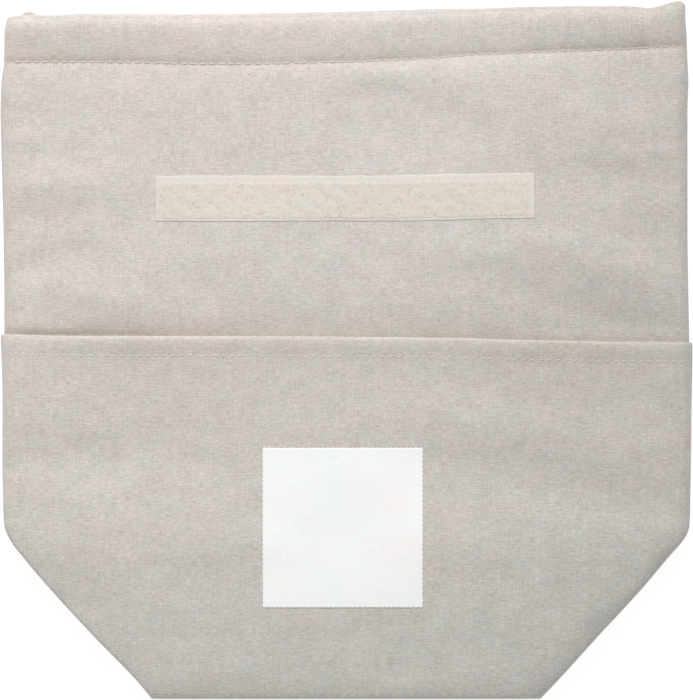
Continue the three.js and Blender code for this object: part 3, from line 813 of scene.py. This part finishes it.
def pocket_lean(x, row):
    """Height of a row of the pocket at one place across: level low down, leaning to its top edge above."""
    top = curve(POCKET_EDGE, x) - HEM_FOLD
    share = (row - POCKET_STRAIGHT) / (POCKET_ROW - POCKET_STRAIGHT)
    return np.where(row <= POCKET_STRAIGHT, row, POCKET_STRAIGHT + share * (top - POCKET_STRAIGHT))


def thicken(piece, name, thickness):
    """Gives a sheet its thickness in millimetres, below the face that is drawn."""
    cloth = piece.modifiers.new(name, "SOLIDIFY")
    cloth.thickness = thickness * MM
    cloth.offset = -1


POCKET_PUSH = 0.5
POCKET_SETTLE_ROWS = np.arange(2, 155, SETTLE_STEP)
panel_share, panel_h, panel_x = panel_grid(POCKET_SIDES, POCKET_SETTLE_ROWS)
panel_z = pocket_drawn(panel_x, panel_h)
panel_held = (panel_share == 0) | (panel_share == 1) | (panel_h <= POCKET_SETTLE_ROWS[0])
pocket_settled = settled(panel_x, panel_h, panel_z, panel_held, POCKET_PUSH)

pocket_turns = np.linspace(0, np.pi / 2, 7)
pocket_nose = POCKET_BOTTOM + POCKET_BOTTOM_ROUND * (1 - np.cos(pocket_turns))
pocket_rows = np.concatenate([
    pocket_nose, np.linspace(pocket_nose[-1], POCKET_STRAIGHT, 86)[1:],
    np.linspace(POCKET_STRAIGHT, POCKET_ROW - 6, 36)[1:], np.linspace(POCKET_ROW - 6, POCKET_ROW, 22)[1:]])
pocket_opening = np.concatenate([np.sin(pocket_turns), np.ones(len(pocket_rows) - 7)])
above_corner = ease(pocket_rows, CORNER - 4, CORNER + 12)[:, None]
pocket_round = SLANT_ROUND + (POCKET_ROUND - SLANT_ROUND) * above_corner
pocket_outer = layer(pocket_rows, face_columns, POCKET_SIDES, pocket_round, pocket_face, POCKET_CREASE,
                     pocket_opening, lean=pocket_lean)
turned_in = pocket_outer[:-26:-1].copy()
inward = np.sign(-turned_in[..., 0]) * (1 - face_columns[2])
turned_in[..., 0] += 2 * HEM_FOLD * inward
turned_in[..., 2] -= 2 * HEM_FOLD * face_columns[2]
pocket_points = np.concatenate([pocket_outer, rolled(pocket_outer[-1], turned_in[0], HEM_FOLD), turned_in])
pocket_cotton = cloth_material("pocket_cotton", (162.5, 156.5, 150.5), (198.5, 192.5, 186.5),
                               cool_way=(1.3, -5.5, 0.0), cool_from=-0.33)
pocket = new_piece("front_pocket_cloth", pocket_points, quads(*pocket_points.shape[:2]), [pocket_cotton],
                   cloth_uv(pocket_points) + np.array([0, 400]))
thicken(pocket, "cloth_thickness", POCKET_CLOTH)
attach(pocket, "root")
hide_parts("front_pocket")

# Pocket stitching
# A row of small stitches along the pocket's hem, and one along the bottom edge that catches it to the body.
# Painted shade: the bottom stitches are drawn dark all over, for the shade of the dimples they sink in.
bottom_stitch_shade = cloth_material("bottom_stitch_shade", (132, 128, 122), (160, 156, 150))
pocket_line = line_across(POCKET_EDGE, -145, 145, -STITCH_DOWN)
hem_thread = cloth_material("pocket_thread", (176, 169, 163), (210, 203, 197))
# Painted shade: the pocket stitches' ends are drawn darker for the shade where the thread dives into the
# cloth.
hem_dip_shade = cloth_material("pocket_thread_dip_shade", (152, 146, 140), (178, 172, 166))
pocket_stitches = stitch_row("pocket_stitches", pocket_line, 3.6, 3.2, 0.36, pocket_face,
                             [hem_thread, hem_dip_shade], 0.05, seed=3, slant=0.42, roundness=0.3)
bottom_x = np.linspace(-84, 84, 60)
bottom_line = np.stack([bottom_x, 0.7 + 0 * bottom_x], axis=1)


def pocket_bottom(x, h):
    """Outer face of the pocket close to its bottom edge, where it rounds under."""
    level = curve(POCKET_CREASE, h)
    turn = np.clip((h - POCKET_BOTTOM) / POCKET_BOTTOM_ROUND, 0, 1)
    return level + (pocket_face(x, h) - level) * np.sqrt(1 - (1 - turn) ** 2)


bottom_stitches = stitch_row("bottom_stitches", bottom_line, 3.6, 1.9, 0.17, pocket_bottom,
                             [bottom_stitch_shade, bottom_stitch_shade], 0.0, seed=4)

# Closing tape
# A strip of cream loop tape sewn flat across the front: a thin woven backing with plain selvedges, and
# between them a low brushed pile with single loops standing out of it.
TAPE_X, TAPE_H = -0.5, 214.9
TAPE_LENGTH, TAPE_WIDTH = 163.6, 19.8
TAPE_THICK = 0.16
TAPE_REST = 0.05
PILE_LEFT, PILE_RIGHT, PILE_BOTTOM, PILE_TOP = 1.6, 2.6, 1.4, 3.4
PILE_RISE = 0.16
LOOP_PITCH = 1.3
LOOP_YARN = 0.03
# Columns: place along the tape from its middle, how far it bends towards the mouth
TAPE_BEND = np.array([(-82, 0.0), (14, 0.05), (40, 0.55), (66, 1.1), (82, 1.35)])


def on_tape(u, v):
    """Place on the bag of a point u along and v across the tape, from its middle."""
    return TAPE_X + u, TAPE_H + v + curve(TAPE_BEND, u)


def tape_face(x, h):
    """Top face of the tape's backing: a constant thickness over the front."""
    return front(x, h) + TAPE_REST + TAPE_THICK


def in_pile(u, v):
    """1 on the pile and 0 on the selvedges, with a soft edge between them."""
    along = ease(u + TAPE_LENGTH / 2, PILE_LEFT - 0.4, PILE_LEFT + 0.4)
    along = along * ease(TAPE_LENGTH / 2 - u, PILE_RIGHT - 0.4, PILE_RIGHT + 0.4)
    return along * ease(v + TAPE_WIDTH / 2, PILE_BOTTOM - 0.3, PILE_BOTTOM + 0.3) * ease(
        TAPE_WIDTH / 2 - v, PILE_TOP - 0.3, PILE_TOP + 0.3)


u = np.linspace(-1, 1, 300) * TAPE_LENGTH / 2
v = np.linspace(-1, 1, 60) * TAPE_WIDTH / 2
grid_u, grid_v = np.meshgrid(u, v)
frayed = 0.1 * ripples(grid_u, 0 * grid_u, 31, 30, 5, 12) * (grid_v / (TAPE_WIDTH / 2)) ** 3
tape_x, tape_h = on_tape(grid_u, grid_v + frayed)
rim = np.minimum(TAPE_LENGTH / 2 - np.abs(grid_u), TAPE_WIDTH / 2 - np.abs(grid_v))
brushed = PILE_RISE * (1 + 0.25 * ripples(grid_u, grid_v, 37, 9, 2.0, 70)) * in_pile(grid_u, grid_v)
tape_z = tape_face(tape_x, tape_h) + brushed - 0.1 * np.exp(-(rim / 0.4) ** 2)
tape_points = np.stack([tape_x, tape_h, tape_z], axis=-1)
tape_faces = quads(*tape_points.shape[:2])
tape_cotton = cloth_material("loop_tape", (189, 181, 172), (200, 192, 184))
selvedge_cotton = cloth_material("tape_selvedge", (191, 185, 178), (203, 197, 190))
tape_uv = np.stack([grid_u, grid_v], axis=-1)
on_selvedge = in_pile(*tape_uv.reshape(-1, 2)[tape_faces].mean(axis=1).T) < 0.5
tape = new_piece("closure_tape_backing", tape_points, tape_faces, [tape_cotton, selvedge_cotton],
                 tape_uv, on_selvedge)
thicken(tape, "tape_thickness", TAPE_THICK)
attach(tape, "root")
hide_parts("closure_tape")

rng = np.random.default_rng(7)
pile_u = np.arange(-TAPE_LENGTH / 2 + PILE_LEFT, TAPE_LENGTH / 2 - PILE_RIGHT, LOOP_PITCH)
pile_v = np.arange(-TAPE_WIDTH / 2 + PILE_BOTTOM, TAPE_WIDTH / 2 - PILE_TOP, LOOP_PITCH)
loop_u, loop_v = (grid.ravel() for grid in np.meshgrid(pile_u, pile_v))
loop_u = loop_u + rng.uniform(-0.6, 0.6, loop_u.size)
loop_v = loop_v + rng.uniform(-0.6, 0.6, loop_v.size)


def loop_pile(name, u, v, material):
    """Single loops of yarn: each is an arch of six rings with three sides, standing on the backing with a
    random heading, size and lean."""
    count = u.size
    arch = np.linspace(-0.15, 1.15, 6) * np.pi
    heading = rng.uniform(0, np.pi, count)[:, None]
    size = rng.uniform(0.3, 0.7, count)[:, None]
    lean = rng.normal(0, 1.0, count)[:, None]
    along = -size * np.cos(arch)
    up = PILE_RISE + 0.1 * size * np.sin(arch)
    side = lean * size * np.sin(arch)
    around = np.array([0, 2, 4]) * np.pi / 3
    ring_out = LOOP_YARN * np.cos(around)
    ring_side = LOOP_YARN * np.sin(around)
    along = along[..., None] - ring_out * np.cos(arch)[None, :, None]
    raised = up[..., None] + ring_out * np.sin(arch)[None, :, None]
    beside = side[..., None] + ring_side + 0 * along
    place_u = u[:, None, None] + along * np.cos(heading)[..., None] - beside * np.sin(heading)[..., None]
    place_v = v[:, None, None] + along * np.sin(heading)[..., None] + beside * np.cos(heading)[..., None]
    x, h = on_tape(place_u, place_v)
    foot_x, foot_h = on_tape(u, v)
    z = tape_face(foot_x, foot_h)[:, None, None] + raised
    points = np.stack([x, h, z], axis=-1)
    walls = tube_walls(arch.size, around.size)[:, [0, 3, 2, 1]]
    faces = (walls + np.arange(count)[:, None, None] * arch.size * around.size).reshape(-1, 4)
    uv = np.stack([place_u, place_v], axis=-1)
    return new_piece(name, points, faces, [material], uv)


loops = loop_pile("closure_tape_loops", loop_u, loop_v, tape_cotton)
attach(loops, "root")

edge_u = TAPE_LENGTH / 2 - 1.6
edge_low, edge_high = -TAPE_WIDTH / 2 + 1.9, TAPE_WIDTH / 2 - 3.2
edge_line = np.linspace(-edge_u, edge_u, 60)
round_u = np.concatenate([edge_line, edge_line[::-1], edge_line[:1]])
round_v = np.concatenate([0 * edge_line + edge_low, 0 * edge_line + edge_high, [edge_low]])
round_tape = np.stack(on_tape(round_u, round_v), axis=1)
tape_stitches = stitch_row("tape_stitches", round_tape, 3.85, 3.1, 0.2, tape_face,
                           [selvedge_cotton, selvedge_cotton], 0.05, seed=6, roundness=0.5)

# Blank patch
# A plain white square of thin cloth with pinked edges, lying flat on the pocket.
PATCH_X, PATCH_H, PATCH_SIDE = -1.6, 73.0, 69.3
PATCH_CLOTH, PATCH_GAP = 0.18, 0.03
TEETH, TOOTH = 33, 0.34
steps = TEETH * 4
a, b = np.meshgrid(np.linspace(-1, 1, steps + 1), np.linspace(-1, 1, steps + 1))


def pinked(along, out):
    """How far an edge point is pushed in: a zigzag along the edge that fades out towards the middle."""
    zigzag = np.abs((along + 1) / 2 * TEETH % 1 - 0.5) * 2
    return TOOTH * zigzag * ease(np.abs(out), 0.95, 1) * np.sign(out)


patch_x = PATCH_X + a * PATCH_SIDE / 2 - pinked(b, a)
patch_h = PATCH_H + b * PATCH_SIDE / 2 - pinked(a, b)
patch_z = pocket_face(patch_x, patch_h) + PATCH_GAP + PATCH_CLOTH
patch_points = np.stack([patch_x, patch_h, patch_z], axis=-1)
patch_cloth = cloth_material("patch_cloth", (219, 218, 218), (227, 226, 226), relief=0.03)
patch = new_piece("blank_patch_cloth", patch_points, quads(*patch_points.shape[:2]), [patch_cloth],
                  np.stack([patch_x, patch_h], axis=-1))
thicken(patch, "patch_thickness", PATCH_CLOTH)
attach(patch, "root")
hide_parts("blank_patch")

# Floor
# A plain white light table under the bag, lit from within so that shadows stay faint.
FLOOR_HALF = 3.0
floor_mesh = bpy.data.meshes.new("floor")
floor_corners = [(x * FLOOR_HALF, y * FLOOR_HALF, -0.0001) for x, y in ((-1, -1), (1, -1), (1, 1), (-1, 1))]
floor_mesh.from_pydata(floor_corners, [], [(0, 1, 2, 3)])
floor = bpy.data.objects.new("floor", floor_mesh)
bpy.context.scene.collection.objects.link(floor)
floor_paint, floor_shader = new_material("floor_paint")
fill(floor_shader, {"Base Color": (0.2, 0.2, 0.2, 1), "Roughness": 0.9,
                    "Emission Color": (1, 1, 1, 1), "Emission Strength": 0.87})
floor_mesh.materials.append(floor_paint)

# Light
# One large soft lamp beyond the mouth, a little to the left, and even light from all round.
scene = bpy.context.scene
scene.view_settings.view_transform = "Standard"
world = bpy.data.worlds.new("studio")
world.use_nodes = True
fill(world.node_tree.nodes["Background"], {"Color": (1, 1, 1, 1), "Strength": 0.66})
scene.world = world
lamp_data = bpy.data.lights.new("softbox", "AREA")
lamp_data.shape = "SQUARE"
lamp_data.size = 1.2
lamp_data.energy = 21.4
lamp_data.spread = np.radians(70)
lamp = bpy.data.objects.new("softbox", lamp_data)
lamp.location = (-0.4, 2.5, 2.3)
scene.collection.objects.link(lamp)
aim_point = (-0.6, 0.1, 0.0)
lamp.rotation_mode = "QUATERNION"
lamp.rotation_quaternion = (lamp.location - Vector(aim_point)).to_track_quat("Z", "Y")

# Camera
# Straight above the bag, mouth upwards, far enough away that its sides hardly show.
PHOTO_LONG_SIDE, PIXELS_PER_MM = 700, 2.31
CAMERA_HEIGHT = 2600.0
OUTLINE_LEVEL = 9.5
MIDDLE_H = 149.6
camera_data = bpy.data.cameras.new("camera")
camera_data.sensor_width = 36.0
camera_data.lens = 36.0 * (CAMERA_HEIGHT - OUTLINE_LEVEL) / (PHOTO_LONG_SIDE / PIXELS_PER_MM)
camera_data.clip_end = 50
camera = bpy.data.objects.new("camera", camera_data)
camera.location = (np.array([0, MIDDLE_H, CAMERA_HEIGHT]) + PLACE) * MM
scene.collection.objects.link(camera)
scene.camera = camera
